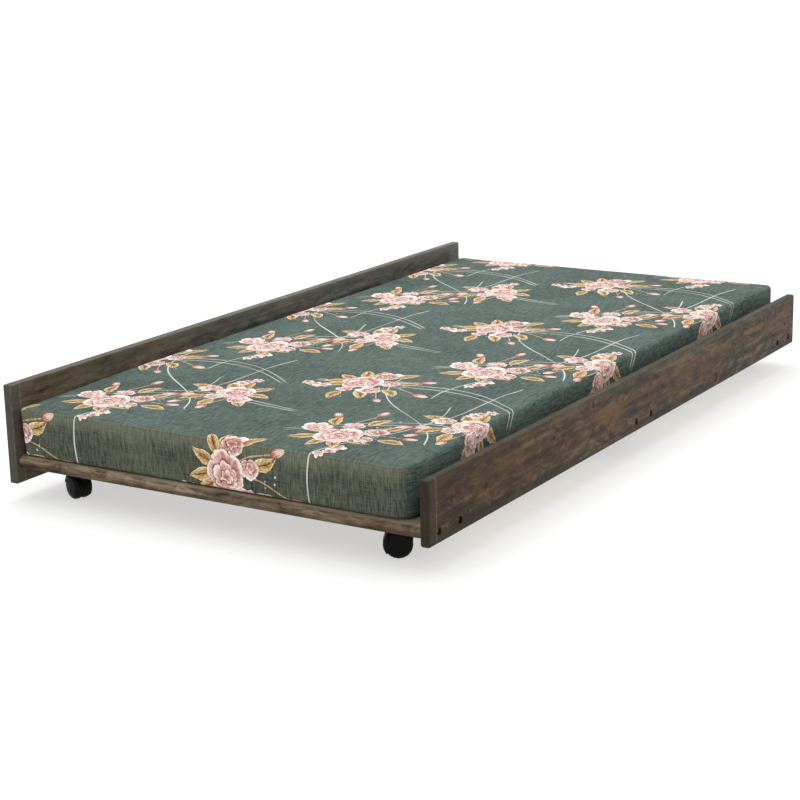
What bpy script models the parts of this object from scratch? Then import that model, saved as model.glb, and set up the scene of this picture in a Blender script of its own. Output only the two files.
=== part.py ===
"""A trundle bed: a low pine frame on four hooded twin-wheel casters, with its slats and mattress.

Metres, +Z up. +X runs along the bed, and the lower board, the one that faces the room, is on the -Y
side. The origin is on the floor under the middle of the bed.
"""

import math

import bmesh
import bpy
from mathutils import Matrix, Vector

GAP = 0.0003  # between pieces that touch

BED_LENGTH = 1.930
BED_WIDTH = 1.070
BOARD_THICKNESS = 0.022
FRONT_BOARD_HEIGHT = 0.134
FRONT_BOARD_DROP = 0.011  # how far it hangs below the rails
FRONT_BOARD_ROUNDING = 0.0055
BACK_BOARD_HEIGHT = 0.222
BACK_BOARD_DROP = 0.033
BACK_BOARD_ROUNDING = 0.0030

RAIL_WIDTH = 0.140
RAIL_THICKNESS = 0.028
RAIL_SET_BACK = 0.008  # from the boards' ends to the nose of an end rail
RAIL_ROUNDING = 0.003

SLAT_WIDTH = 0.089
SLAT_THICKNESS = 0.018
SLAT_ROUNDING = 0.002
SLATS_PER_BAY = 4
SLAT_END_CLEARANCE = 0.002
LEDGER_WIDTH = 0.022
LEDGER_HEIGHT = 0.020
LEDGER_END_CLEARANCE = 0.001

MATTRESS_HEIGHT = 0.110
MATTRESS_ROUNDING = 0.010
MATTRESS_END_CLEARANCE = 0.0125  # short of the boards' ends
MATTRESS_FRONT_CLEARANCE = 0.030  # to the front board's inner face
MATTRESS_BACK_CLEARANCE = 0.011

SCREW_SPACING = 0.080
SCREW_HEAD_RADIUS = 0.0062
SCREW_HEAD_HEIGHT = 0.004
SCREW_SHANK_RADIUS = 0.0028
SCREW_LENGTH = 0.064  # under the head
SCREW_TIP_LENGTH = 0.006
SOCKET_RADIUS = 0.0029  # of the hexagon's corners
SOCKET_DEPTH = 0.0025
COUNTERBORE_RADIUS = 0.008
COUNTERBORE_DEPTH = 0.010

WHEEL_RADIUS = 0.029
WHEEL_WIDTH = 0.019
TREAD_WIDTH = 0.009  # the flat part, beside the web
WHEEL_BORE_DEPTH = 0.013
AXLE_RADIUS = 0.003
HUB_RADIUS = 0.009
WEB_THICKNESS = 0.007
WEB_CLEARANCE = 0.0005  # between the web and each wheel
HOOD_CLEARANCE = 0.001
HOOD_WALL = 0.0015
HOOD_WRAP = math.radians(46)  # how far the hood follows the wheels' domes
HOOD_FRONT = math.radians(217)  # the hood's ends, from the trailing direction over the top
HOOD_BACK = math.radians(20)
SWIVEL_TRAIL = 0.016  # from the swivel's axis to the axle
NECK_RADIUS = 0.011
NECK_RISE = 0.009  # above the hood's crown
KING_PIN_RADIUS = 0.004
KING_PIN_END_CLEARANCE = 0.0005
PLATE_SIDE = 0.040
PLATE_THICKNESS = 0.002
PLATE_CORNER = 0.005
PLATE_HOLE_SPACING = 0.028
PLATE_HOLE_RADIUS = 0.0022
CASTER_SIDE_INSET = 0.137  # from the bed's sides to the swivels
CASTER_HEADINGS = {  # the way the wheels trail, in degrees from +X
    "near_front": -58,
    "near_back": 69,
    "far_front": -40,
    "far_back": 105,
}

ROUND_STEPS = 20
SMALL_STEPS = 12

# Heights, from the floor up.
HOOD_INNER_RADIUS = WHEEL_RADIUS + HOOD_CLEARANCE
HOOD_RADIUS = HOOD_INNER_RADIUS + HOOD_WALL
NECK_TOP = WHEEL_RADIUS + HOOD_RADIUS + NECK_RISE
PLATE_BOTTOM = NECK_TOP + GAP
RAIL_BOTTOM = PLATE_BOTTOM + PLATE_THICKNESS + GAP
RAIL_TOP = RAIL_BOTTOM + RAIL_THICKNESS
SLAT_BOTTOM = RAIL_TOP - SLAT_THICKNESS
SCREW_Z = RAIL_BOTTOM + RAIL_THICKNESS / 2

# Places along the bed and across it.
INNER_HALF_WIDTH = BED_WIDTH / 2 - BOARD_THICKNESS
MATTRESS_LENGTH = BED_LENGTH - 2 * MATTRESS_END_CLEARANCE
MATTRESS_WIDTH = 2 * INNER_HALF_WIDTH - MATTRESS_FRONT_CLEARANCE - MATTRESS_BACK_CLEARANCE
MATTRESS_Y = (MATTRESS_FRONT_CLEARANCE - MATTRESS_BACK_CLEARANCE) / 2
END_RAIL_X = BED_LENGTH / 2 - RAIL_SET_BACK - RAIL_WIDTH / 2
RAIL_X = {"near_rail": -END_RAIL_X, "middle_rail": 0.0, "far_rail": END_RAIL_X}
BAY_LENGTH = END_RAIL_X - RAIL_WIDTH
BAY_X = {"near": -END_RAIL_X / 2, "far": END_RAIL_X / 2}
SIDES = {"front": -1, "back": 1}


def clear_scene():
    """Leaves an empty scene, so that the bed is the only thing in it."""
    for obj in list(bpy.data.objects):
        bpy.data.objects.remove(obj, do_unlink=True)


def new_collection(name):
    """A collection under the scene's own."""
    collection = bpy.data.collections.new(name)
    bpy.context.scene.collection.children.link(collection)
    return collection


def new_material(name, colour, roughness, metallic=0.0):
    """A plain Principled material."""
    material = bpy.data.materials.new(name)
    material.use_nodes = True
    shader = material.node_tree.nodes["Principled BSDF"]
    shader.inputs["Base Color"].default_value = (*colour, 1.0)
    shader.inputs["Roughness"].default_value = roughness
    shader.inputs["Metallic"].default_value = metallic
    return material


def add_object(name, mesh, collection, location=(0, 0, 0), rotation=(0, 0, 0)):
    """An object for a mesh, placed and linked."""
    obj = bpy.data.objects.new(name, mesh)
    obj.location = location
    obj.rotation_euler = rotation
    collection.objects.link(obj)
    return obj


def box_mesh(name, size):
    """A box of this size about its own centre."""
    shape = bmesh.new()
    bmesh.ops.create_cube(shape, size=1.0)
    bmesh.ops.scale(shape, vec=size, verts=shape.verts)
    mesh = bpy.data.meshes.new(name)
    shape.to_mesh(mesh)
    shape.free()
    return mesh


def cylinder_mesh(name, radius, bottom, top, steps, turn=Matrix.Identity(4)):
    """A cylinder along Z from bottom to top, then turned."""
    shape = bmesh.new()
    bmesh.ops.create_cone(
        shape,
        cap_ends=True,
        segments=steps,
        radius1=radius,
        radius2=radius,
        depth=top - bottom,
        matrix=turn @ Matrix.Translation((0, 0, (bottom + top) / 2)),
    )
    mesh = bpy.data.meshes.new(name)
    shape.to_mesh(mesh)
    shape.free()
    return mesh


def evaluated_mesh(obj, name):
    """The object's shape with its modifiers, as a mesh of its own; the object is removed."""
    bpy.context.view_layer.update()
    graph = bpy.context.evaluated_depsgraph_get()
    mesh = bpy.data.meshes.new_from_object(obj.evaluated_get(graph))
    mesh.name = name
    bpy.data.objects.remove(obj, do_unlink=True)
    return mesh


def turned_mesh(name, profile, steps, collection):
    """A solid turned about Z from (radius, height) points that run from its top down its outer side."""
    line = bpy.data.meshes.new(name)
    points = [(radius, 0, height) for radius, height in profile]
    line.from_pydata(points, [(i, i + 1) for i in range(len(points) - 1)], [])
    obj = add_object(name, line, collection)
    screw = obj.modifiers.new("turn", "SCREW")
    screw.steps = steps
    screw.render_steps = steps
    screw.use_merge_vertices = True
    screw.merge_threshold = 0.00001
    return evaluated_mesh(obj, name)


def outline_mesh(name, points, thickness, collection):
    """A flat outline in XY made a solid of this thickness, centred on the plane."""
    curve = bpy.data.curves.new(name, "CURVE")
    curve.dimensions = "2D"
    curve.fill_mode = "BOTH"
    curve.extrude = thickness / 2
    spline = curve.splines.new("POLY")
    spline.points.add(len(points) - 1)
    for point, (x, y) in zip(spline.points, points):
        point.co = (x, y, 0, 1)
    spline.use_cyclic_u = True
    mesh = evaluated_mesh(add_object(name, curve, collection), name)
    shape = bmesh.new()
    shape.from_mesh(mesh)
    bmesh.ops.remove_doubles(shape, verts=shape.verts, dist=0.00001)
    shape.to_mesh(mesh)
    shape.free()
    return mesh


def arc(centre, radius, start, end, steps):
    """Points along an arc, both ends included."""
    angles = [start + (end - start) * i / steps for i in range(steps + 1)]
    return [(centre[0] + radius * math.cos(a), centre[1] + radius * math.sin(a)) for a in angles]


def rounded_outline(half_width, half_height, radii, steps):
    """A rectangle whose corners have these radii, from the lower right corner round to the left."""
    corners = ((1, -1), (1, 1), (-1, 1), (-1, -1))
    points = []
    for number, ((side_x, side_y), radius) in enumerate(zip(corners, radii)):
        centre = (side_x * (half_width - radius), side_y * (half_height - radius))
        start = math.radians(-90 + 90 * number)
        for point in arc(centre, radius, start, start + math.radians(90), steps):
            if not points or math.dist(point, points[-1]) > 0.00001:
                points.append(point)
    return points


def add_boolean(obj, tool, operation="DIFFERENCE"):
    """A Boolean with another object."""
    boolean = obj.modifiers.new(operation.lower(), "BOOLEAN")
    boolean.operation = operation
    boolean.solver = "EXACT"
    boolean.object = tool


def add_bevel(obj, width, segments):
    """Rounded edges."""
    bevel = obj.modifiers.new("rounding", "BEVEL")
    bevel.width = width
    bevel.segments = segments
    bevel.limit_method = "ANGLE"
    bevel.harden_normals = False


def combined_mesh(name, base, steps, cutters):
    """A base mesh with tools joined to it or cut from it in turn, made one mesh."""
    obj = add_object(name, base, cutters)
    tools = []
    for operation, mesh, location in steps:
        tool = add_object(name + "_tool", mesh, cutters, location)
        add_boolean(obj, tool, operation)
        tools.append(tool)
    mesh = evaluated_mesh(obj, name)
    for tool in tools:
        bpy.data.objects.remove(tool, do_unlink=True)
    return mesh


def smooth(mesh):
    """Shades the round faces smooth and keeps the real edges sharp."""
    mesh.shade_smooth()
    mesh.set_sharp_from_angle(angle=math.radians(35))


def add_cutter(name, mesh, cutters, location, rotation=(0, 0, 0)):
    """A tool that stays in the file, drawn as wire and left out of renders."""
    cutter = add_object(name, mesh, cutters, location, rotation)
    cutter.hide_render = True
    cutter.display_type = "WIRE"
    return cutter


def screw_places():
    """Each screw's distance along the bed, in order from the near end."""
    for rail_x in RAIL_X.values():
        for side in (-1, 1):
            yield rail_x + side * SCREW_SPACING / 2


def add_board(name, side, height, drop, rounding, material, parts, cutters):
    """A side board on edge, with a counterbore and a clearance hole for each screw."""
    centre_z = RAIL_BOTTOM - drop + height / 2
    centre_y = side * (BED_WIDTH - BOARD_THICKNESS) / 2
    board = add_object(
        name, box_mesh(name, (BED_LENGTH, BOARD_THICKNESS, height)), parts, (0, centre_y, centre_z)
    )
    add_bevel(board, rounding, 4)
    clearance_radius = SCREW_SHANK_RADIUS + GAP
    past = 0.002  # how far the hole's tool runs out of the wood
    profile = [
        (0, past),
        (COUNTERBORE_RADIUS, past),
        (COUNTERBORE_RADIUS, -COUNTERBORE_DEPTH),
        (clearance_radius, -COUNTERBORE_DEPTH),
        (clearance_radius, -BOARD_THICKNESS - past),
        (0, -BOARD_THICKNESS - past),
    ]
    hole = turned_mesh(name + "_hole", profile, ROUND_STEPS, cutters)
    outward = (-side * math.pi / 2, 0, 0)
    for number, x in enumerate(screw_places(), start=1):
        place = (x, side * BED_WIDTH / 2, SCREW_Z)
        add_boolean(board, add_cutter(f"{name}_hole_{number}", hole, cutters, place, outward))
    board.data.materials.append(material)


def add_rail(name, x, nose, material, parts, cutters):
    """A flat cross rail. nose is -1 or 1 for the end with the round nose, and 0 for none."""
    half_width = RAIL_WIDTH / 2
    half_height = RAIL_THICKNESS / 2
    round_nose = half_height - 0.0001
    right = round_nose if nose > 0 else RAIL_ROUNDING
    left = round_nose if nose < 0 else RAIL_ROUNDING
    outline = rounded_outline(half_width, half_height, (right, right, left, left), 6)
    length = 2 * (INNER_HALF_WIDTH - GAP)
    mesh = outline_mesh(name, outline, length, cutters)
    rail = add_object(name, mesh, parts, (x, 0, SCREW_Z), (math.pi / 2, 0, 0))
    depth = SCREW_LENGTH + COUNTERBORE_DEPTH - BOARD_THICKNESS + 0.002
    pilot = cylinder_mesh(name + "_pilot", SCREW_SHANK_RADIUS + GAP, -depth, 0.002, SMALL_STEPS)
    for side_name, side in SIDES.items():
        for number, step in enumerate((-1, 1), start=1):
            place = (x + step * SCREW_SPACING / 2, side * (INNER_HALF_WIDTH - GAP), SCREW_Z)
            turn = (-side * math.pi / 2, 0, 0)
            cutter_name = f"{name}_pilot_{side_name}_{number}"
            add_boolean(rail, add_cutter(cutter_name, pilot, cutters, place, turn))
    rail.data.materials.append(material)


def add_ledgers(material, parts):
    """Strips on the boards' inner faces, between the rails, that carry the slats."""
    length = BAY_LENGTH - 2 * LEDGER_END_CLEARANCE
    mesh = box_mesh("ledger", (length, LEDGER_WIDTH, LEDGER_HEIGHT))
    mesh.materials.append(material)
    y = INNER_HALF_WIDTH - GAP - LEDGER_WIDTH / 2
    z = SLAT_BOTTOM - GAP - LEDGER_HEIGHT / 2
    for side_name, side in SIDES.items():
        for bay_name, x in BAY_X.items():
            ledger = add_object(f"ledger_{side_name}_{bay_name}", mesh, parts, (x, side * y, z))
            add_bevel(ledger, 0.001, 1)


def add_slats(material, parts):
    """The deck between the rails, its top flush with theirs and its gaps all alike."""
    length = 2 * (INNER_HALF_WIDTH - SLAT_END_CLEARANCE)
    mesh = box_mesh("slat", (SLAT_WIDTH, length, SLAT_THICKNESS))
    mesh.materials.append(material)
    between = (BAY_LENGTH - SLATS_PER_BAY * SLAT_WIDTH) / (SLATS_PER_BAY + 1)
    for bay_name, bay_x in BAY_X.items():
        first = bay_x - BAY_LENGTH / 2 + between + SLAT_WIDTH / 2
        for number in range(SLATS_PER_BAY):
            place = (first + number * (SLAT_WIDTH + between), 0, SLAT_BOTTOM + SLAT_THICKNESS / 2)
            slat = add_object(f"slat_{bay_name}_{number + 1}", mesh, parts, place)
            add_bevel(slat, SLAT_ROUNDING, 2)


def add_mattress(material, parts):
    """The mattress, nearer the back board than the front one."""
    mesh = box_mesh("mattress", (MATTRESS_LENGTH, MATTRESS_WIDTH, MATTRESS_HEIGHT))
    mesh.materials.append(material)
    mattress = add_object("mattress", mesh, parts, (0, MATTRESS_Y, RAIL_TOP + GAP + MATTRESS_HEIGHT / 2))
    add_bevel(mattress, MATTRESS_ROUNDING, 3)


def screw_mesh(cutters):
    """A socket-head wood screw along Z, its head's seat at the origin and its tip down."""
    profile = [
        (0, SCREW_HEAD_HEIGHT),
        (SCREW_HEAD_RADIUS - 0.0008, SCREW_HEAD_HEIGHT),
        (SCREW_HEAD_RADIUS, SCREW_HEAD_HEIGHT - 0.0008),
        (SCREW_HEAD_RADIUS, 0),
        (SCREW_SHANK_RADIUS, 0),
        (SCREW_SHANK_RADIUS, -SCREW_LENGTH + SCREW_TIP_LENGTH),
        (0, -SCREW_LENGTH),
    ]
    body = turned_mesh("screw_body", profile, SMALL_STEPS, cutters)
    floor = SCREW_HEAD_HEIGHT - SOCKET_DEPTH
    socket = cylinder_mesh("screw_socket", SOCKET_RADIUS, floor, SCREW_HEAD_HEIGHT + 0.001, 6)
    return combined_mesh("screw", body, [("DIFFERENCE", socket, (0, 0, 0))], cutters)


def add_screws(material, parts, cutters):
    """Two screws through each board into the end of each rail."""
    mesh = screw_mesh(cutters)
    mesh.materials.append(material)
    smooth(mesh)
    seat = BED_WIDTH / 2 - COUNTERBORE_DEPTH + GAP
    for side_name, side in SIDES.items():
        for number, x in enumerate(screw_places(), start=1):
            turn = (-side * math.pi / 2, 0, 0)
            add_object(f"{side_name}_screw_{number}", mesh, parts, (x, side * seat, SCREW_Z), turn)


def dome(radius, rise, end, steps, base):
    """(radius, height) along a wheel's dome, from its rim at height base up to the angle end."""
    angles = [end * i / steps for i in range(steps + 1)]
    return [(radius * math.cos(a), base + rise * math.sin(a)) for a in angles]


def wheel_mesh(cutters):
    """Half of a twin wheel, its axis along Z, its dome up and the caster's middle at the origin."""
    inner = WEB_THICKNESS / 2 + WEB_CLEARANCE
    rim = inner + TREAD_WIDTH
    rounded = dome(WHEEL_RADIUS, WHEEL_WIDTH - TREAD_WIDTH, math.radians(72), 5, rim)
    bore = AXLE_RADIUS + GAP
    profile = [(0, rounded[-1][1])]
    profile += reversed(rounded)
    profile += [(WHEEL_RADIUS, inner + 0.001), (WHEEL_RADIUS - 0.001, inner)]
    profile += [(bore, inner), (bore, inner + WHEEL_BORE_DEPTH), (0, inner + WHEEL_BORE_DEPTH)]
    return turned_mesh("wheel", profile, ROUND_STEPS, cutters)


def barrel_profile(radius, rise, end):
    """The outline of a solid that wraps both wheels, cut off flat where its domes reach end."""
    rim = WEB_THICKNESS / 2 + WEB_CLEARANCE + TREAD_WIDTH
    half = dome(radius, rise, end, 4, rim)
    mirrored = [(r, -z) for r, z in half]
    return [(0, half[-1][1]), *reversed(half), *mirrored, (0, -half[-1][1])]


def housing_mesh(cutters):
    """The swivel head, hood and web in one moulding. Its axle lies along Z, and X is the way it trails."""
    rise = WHEEL_WIDTH - TREAD_WIDTH
    outer = barrel_profile(HOOD_RADIUS, rise + HOOD_CLEARANCE + HOOD_WALL, HOOD_WRAP)
    inner = barrel_profile(HOOD_INNER_RADIUS, rise + HOOD_CLEARANCE, HOOD_WRAP + math.radians(14))
    shell = turned_mesh("hood_outside", outer, ROUND_STEPS, cutters)
    room = turned_mesh("hood_inside", inner, ROUND_STEPS, cutters)
    far = 2 * HOOD_RADIUS
    wide = 4 * WHEEL_WIDTH
    opening = [(0, 0)] + arc((0, 0), far, HOOD_FRONT, HOOD_BACK + 2 * math.pi, 12)
    wedge = outline_mesh("hood_opening", opening, wide, cutters)
    upright = Matrix.Translation((-SWIVEL_TRAIL, 0, 0)) @ Matrix.Rotation(-math.pi / 2, 4, "X")
    neck_foot = 0.4 * HOOD_RADIUS
    neck_top = NECK_TOP - WHEEL_RADIUS
    neck = cylinder_mesh("neck", NECK_RADIUS, neck_foot, neck_top, ROUND_STEPS, upright)
    web = cylinder_mesh(
        "web", HOOD_INNER_RADIUS + HOOD_WALL / 2, -WEB_THICKNESS / 2, WEB_THICKNESS / 2, ROUND_STEPS
    )
    web = combined_mesh("web_sector", web, [("DIFFERENCE", wedge.copy(), (0, 0, 0))], cutters)
    hub = cylinder_mesh("hub", HUB_RADIUS, -WEB_THICKNESS / 2, WEB_THICKNESS / 2, ROUND_STEPS)
    pin_room = cylinder_mesh(
        "pin_room", KING_PIN_RADIUS + GAP, HOOD_RADIUS, neck_top + 0.002, ROUND_STEPS, upright
    )
    axle_hole = cylinder_mesh("axle_hole", AXLE_RADIUS + GAP, -wide, wide, SMALL_STEPS)
    steps = [
        ("DIFFERENCE", wedge, (0, 0, 0)),
        ("UNION", neck, (0, 0, 0)),
        ("DIFFERENCE", room, (0, 0, 0)),
        ("UNION", web, (0, 0, 0)),
        ("UNION", hub, (0, 0, 0)),
        ("DIFFERENCE", pin_room, (0, 0, 0)),
        ("DIFFERENCE", axle_hole, (0, 0, 0)),
    ]
    mesh = combined_mesh("housing", shell, steps, cutters)
    # Upright, with the swivel's axis at the origin and the floor at Z = 0.
    mesh.transform(Matrix.Rotation(math.pi / 2, 4, "X"))
    mesh.transform(Matrix.Translation((SWIVEL_TRAIL, 0, WHEEL_RADIUS)))
    return mesh


def plate_mesh(cutters):
    """The mounting plate with its riveted king pin, the plate's underside at the origin."""
    half = PLATE_SIDE / 2
    outline = rounded_outline(half, half, [PLATE_CORNER] * 4, 4)
    plate = outline_mesh("plate", outline, PLATE_THICKNESS, cutters)
    plate.transform(Matrix.Translation((0, 0, PLATE_THICKNESS / 2)))
    tip = -(NECK_RISE + GAP) + KING_PIN_END_CLEARANCE
    pin = cylinder_mesh("king_pin", KING_PIN_RADIUS, tip, PLATE_THICKNESS / 2, ROUND_STEPS)
    hole = cylinder_mesh("plate_hole", PLATE_HOLE_RADIUS, -0.01, 0.01, SMALL_STEPS)
    steps = [("UNION", pin, (0, 0, 0))]
    for side_x in (-1, 1):
        for side_y in (-1, 1):
            place = (side_x * PLATE_HOLE_SPACING / 2, side_y * PLATE_HOLE_SPACING / 2, 0)
            steps.append(("DIFFERENCE", hole.copy(), place))
    return combined_mesh("plate", plate, steps, cutters)


def caster_places():
    """Each caster's name and the point on the floor under its swivel."""
    across = BED_WIDTH / 2 - CASTER_SIDE_INSET
    for end_name, x in (("near", -END_RAIL_X), ("far", END_RAIL_X)):
        for side_name, side in SIDES.items():
            yield f"{end_name}_{side_name}", Vector((x, side * across, 0))


def add_casters(nylon, steel, parts, cutters):
    """Four casters: a plate each, and a housing, an axle and two wheels that swivel together."""
    housing = housing_mesh(cutters)
    wheel = wheel_mesh(cutters)
    plate = plate_mesh(cutters)
    axle_end = WEB_THICKNESS / 2 + WEB_CLEARANCE + WHEEL_BORE_DEPTH - 2 * GAP
    axle = cylinder_mesh("axle", AXLE_RADIUS, -axle_end, axle_end, SMALL_STEPS)
    for mesh, material in ((housing, nylon), (wheel, nylon), (plate, steel), (axle, steel)):
        mesh.materials.append(material)
        smooth(mesh)
    axle_place = (SWIVEL_TRAIL, 0, WHEEL_RADIUS)
    left = (-math.pi / 2, 0, 0)
    right = (math.pi / 2, 0, 0)
    for name, place in caster_places():
        swivel = add_object(f"swivel_{name}", None, parts, place)
        swivel.rotation_euler = (0, 0, math.radians(CASTER_HEADINGS[name]))
        swivel.empty_display_size = WHEEL_RADIUS
        moving = [
            add_object(f"housing_{name}", housing, parts),
            add_object(f"axle_{name}", axle, parts, axle_place, left),
            add_object(f"wheel_{name}_left", wheel, parts, axle_place, left),
            add_object(f"wheel_{name}_right", wheel, parts, axle_place, right),
        ]
        for piece in moving:
            piece.parent = swivel
        add_object(f"plate_{name}", plate, parts, place + Vector((0, 0, PLATE_BOTTOM)))


def main():
    """Builds the bed from the floor's casters to the mattress."""
    clear_scene()
    parts = new_collection("trundle_bed")
    cutters = new_collection("cutters")
    front_wood = new_material("stained_pine_front", (0.090, 0.058, 0.038), 0.55)
    back_wood = new_material("stained_pine_back", (0.085, 0.068, 0.055), 0.60)
    rail_wood = new_material("stained_pine_rail", (0.170, 0.125, 0.090), 0.60)
    raw_pine = new_material("raw_pine", (0.600, 0.430, 0.250), 0.70)
    fabric = new_material("printed_cover", (0.060, 0.110, 0.095), 0.90)
    nylon = new_material("black_nylon", (0.010, 0.010, 0.011), 0.40)
    steel = new_material("zinc_steel", (0.560, 0.560, 0.540), 0.35, 1.0)
    add_casters(nylon, steel, parts, cutters)
    for name, x in RAIL_X.items():
        nose = (x > 0) - (x < 0)
        add_rail(name, x, nose, rail_wood, parts, cutters)
    front = (-1, FRONT_BOARD_HEIGHT, FRONT_BOARD_DROP, FRONT_BOARD_ROUNDING, front_wood)
    back = (1, BACK_BOARD_HEIGHT, BACK_BOARD_DROP, BACK_BOARD_ROUNDING, back_wood)
    add_board("front_board", *front, parts, cutters)
    add_board("back_board", *back, parts, cutters)
    add_ledgers(raw_pine, parts)
    add_slats(raw_pine, parts)
    add_screws(steel, parts, cutters)
    add_mattress(fabric, parts)


main()
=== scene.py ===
import math
import random

import bmesh
import bpy
import numpy as np
from mathutils import Matrix, Vector


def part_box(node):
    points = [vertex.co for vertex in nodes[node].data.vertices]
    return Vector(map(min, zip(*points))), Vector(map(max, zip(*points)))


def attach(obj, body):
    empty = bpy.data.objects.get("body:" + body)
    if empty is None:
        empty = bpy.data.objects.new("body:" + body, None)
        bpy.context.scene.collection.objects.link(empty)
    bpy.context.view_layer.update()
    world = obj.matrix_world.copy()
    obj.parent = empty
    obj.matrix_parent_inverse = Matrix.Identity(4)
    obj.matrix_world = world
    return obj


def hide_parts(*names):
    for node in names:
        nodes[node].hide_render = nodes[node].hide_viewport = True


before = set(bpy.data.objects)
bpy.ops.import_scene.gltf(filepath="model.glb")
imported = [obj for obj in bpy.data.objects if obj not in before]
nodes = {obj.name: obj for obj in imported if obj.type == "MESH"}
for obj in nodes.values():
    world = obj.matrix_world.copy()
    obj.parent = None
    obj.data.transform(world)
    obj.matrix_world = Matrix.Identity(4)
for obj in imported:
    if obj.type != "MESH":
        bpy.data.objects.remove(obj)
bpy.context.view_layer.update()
print("frame loaded:", len(nodes), "nodes")


def tint(red, green, blue):  # screen values to linear light
    mixed = []
    for part in (red / 255, green / 255, blue / 255):
        mixed.append(part / 12.92 if part < 0.04045 else ((part + 0.055) / 1.055) ** 2.4)
    return (*mixed, 1)


def darker(colour, share):
    return (*(share * part for part in colour[:3]), 1)


class Wire:  # one output socket, with arithmetic
    def __init__(self, paint, socket):
        self.paint = paint
        self.socket = socket

    def other(self, name):  # another output of the same node
        return Wire(self.paint, self.socket.node.outputs[name])

    def maths(self, operation, *values):
        sockets = dict(enumerate((self,) + values))
        return self.paint.node("Math", {"operation": operation}, sockets)

    def __add__(self, value):
        return self.maths("ADD", value)

    __radd__ = __add__

    def __sub__(self, value):
        return self.maths("SUBTRACT", value)

    def __rsub__(self, value):
        return self.paint.node("Math", {"operation": "SUBTRACT"}, {0: value, 1: self})

    def __mul__(self, value):
        return self.maths("MULTIPLY", value)

    __rmul__ = __mul__

    def __truediv__(self, value):
        return self.maths("DIVIDE", value)

    def __pow__(self, value):
        return self.maths("POWER", value)

    def __lt__(self, value):
        return self.maths("LESS_THAN", value)

    def __gt__(self, value):
        return self.maths("GREATER_THAN", value)

    def __abs__(self):
        return self.maths("ABSOLUTE")

    def rise(self, low, high):  # 0 below low, 1 above high, smooth between
        settings = {"interpolation_type": "SMOOTHSTEP", "clamp": True}
        sockets = {"Value": self, "From Min": low, "From Max": high}
        return self.paint.node("MapRange", settings, sockets)

    def fall(self, low, high):
        settings = {"interpolation_type": "SMOOTHSTEP", "clamp": True}
        sockets = {"Value": self, "From Min": low, "From Max": high, "To Min": 1.0, "To Max": 0.0}
        return self.paint.node("MapRange", settings, sockets)

    def ramp(self, *stops):  # each stop is a place and a screen colour
        stops = [(place, tint(*colour)) for place, colour in stops]
        return self.paint.node("ValToRGB", {"stops": stops}, {0: self})


class Paint:  # one material and its nodes
    def __init__(self, name):
        self.material = bpy.data.materials.new(name)
        self.material.use_nodes = True
        self.tree = self.material.node_tree
        self.tree.nodes.clear()
        self.surface = self.tree.nodes.new("ShaderNodeBsdfPrincipled")
        end = self.tree.nodes.new("ShaderNodeOutputMaterial")
        self.tree.links.new(self.surface.outputs[0], end.inputs["Surface"])

    def node(self, kind, settings=None, sockets=None):
        made = self.tree.nodes.new("ShaderNode" + kind)
        for name, value in (settings or {}).items():
            if name == "stops":
                while len(made.color_ramp.elements) < len(value):
                    made.color_ramp.elements.new(1.0)
                for stop, (place, colour) in zip(made.color_ramp.elements, value):
                    stop.position = place
                    stop.color = colour
            else:
                setattr(made, name, value)
        for name, value in (sockets or {}).items():
            self.plug(made.inputs[name], value)
        return Wire(self, next(out for out in made.outputs if out.enabled))

    def plug(self, socket, value):
        if isinstance(value, Wire):
            self.tree.links.new(value.socket, socket)
        else:
            socket.default_value = value

    def finish(self, **values):  # sockets of the surface, by name with _ for a space
        for name, value in values.items():
            self.plug(self.surface.inputs[name.replace("_", " ")], value)
        return self.material

    def split(self, vector):
        parts = self.node("SeparateXYZ", None, {0: vector})
        return parts, parts.other("Y"), parts.other("Z")

    def join(self, x, y, z=0.0):
        return self.node("CombineXYZ", None, {0: x, 1: y, 2: z})

    def held(self, name):  # a value kept on the mesh
        return self.node("Attribute", {"attribute_name": name}).other("Vector")

    def place(self):  # the piece's own metres
        return self.node("TexCoord").other("Object")

    def scaled(self, vector, x, y, z):
        return self.node("VectorMath", {"operation": "MULTIPLY"}, {0: vector, 1: (x, y, z)})

    def noise(self, vector, scale=1.0, detail=2.0, roughness=0.5, distortion=0.0):
        sockets = {"Vector": vector, "Scale": scale, "Detail": detail}
        sockets.update({"Roughness": roughness, "Distortion": distortion})
        return self.node("TexNoise", None, sockets)

    def blend(self, share, first, second, how="MIX"):
        settings = {"data_type": "RGBA", "blend_type": how, "clamp_factor": True}
        return self.node("Mix", settings, {0: share, 6: first, 7: second})

    def bump(self, height, distance, strength=1.0):
        sockets = {"Height": height, "Distance": distance, "Strength": strength}
        return self.node("Bump", None, sockets)


view = {
    "eye": (-3.9047, -2.3183, 1.2625),  # metres, from the bed's middle on the floor
    "turn": 32.0689,  # degrees from +X towards +Y
    "down": 14.7710,
    "roll": -1.3265,
    "lens": 86.06,
    "sensor": 36.0,
}


def makeCamera():
    data = bpy.data.cameras.new("view")
    data.sensor_width = view["sensor"]
    data.lens = view["lens"]
    data.clip_end = 200
    camera = bpy.data.objects.new("view", data)
    bpy.context.scene.collection.objects.link(camera)
    turn = Matrix.Rotation(math.radians(view["turn"] - 90), 4, "Z")
    tip = Matrix.Rotation(math.radians(90 - view["down"]), 4, "X")
    roll = Matrix.Rotation(math.radians(view["roll"]), 4, "Z")
    camera.matrix_world = Matrix.Translation(view["eye"]) @ turn @ tip @ roll
    bpy.context.scene.camera = camera


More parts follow.
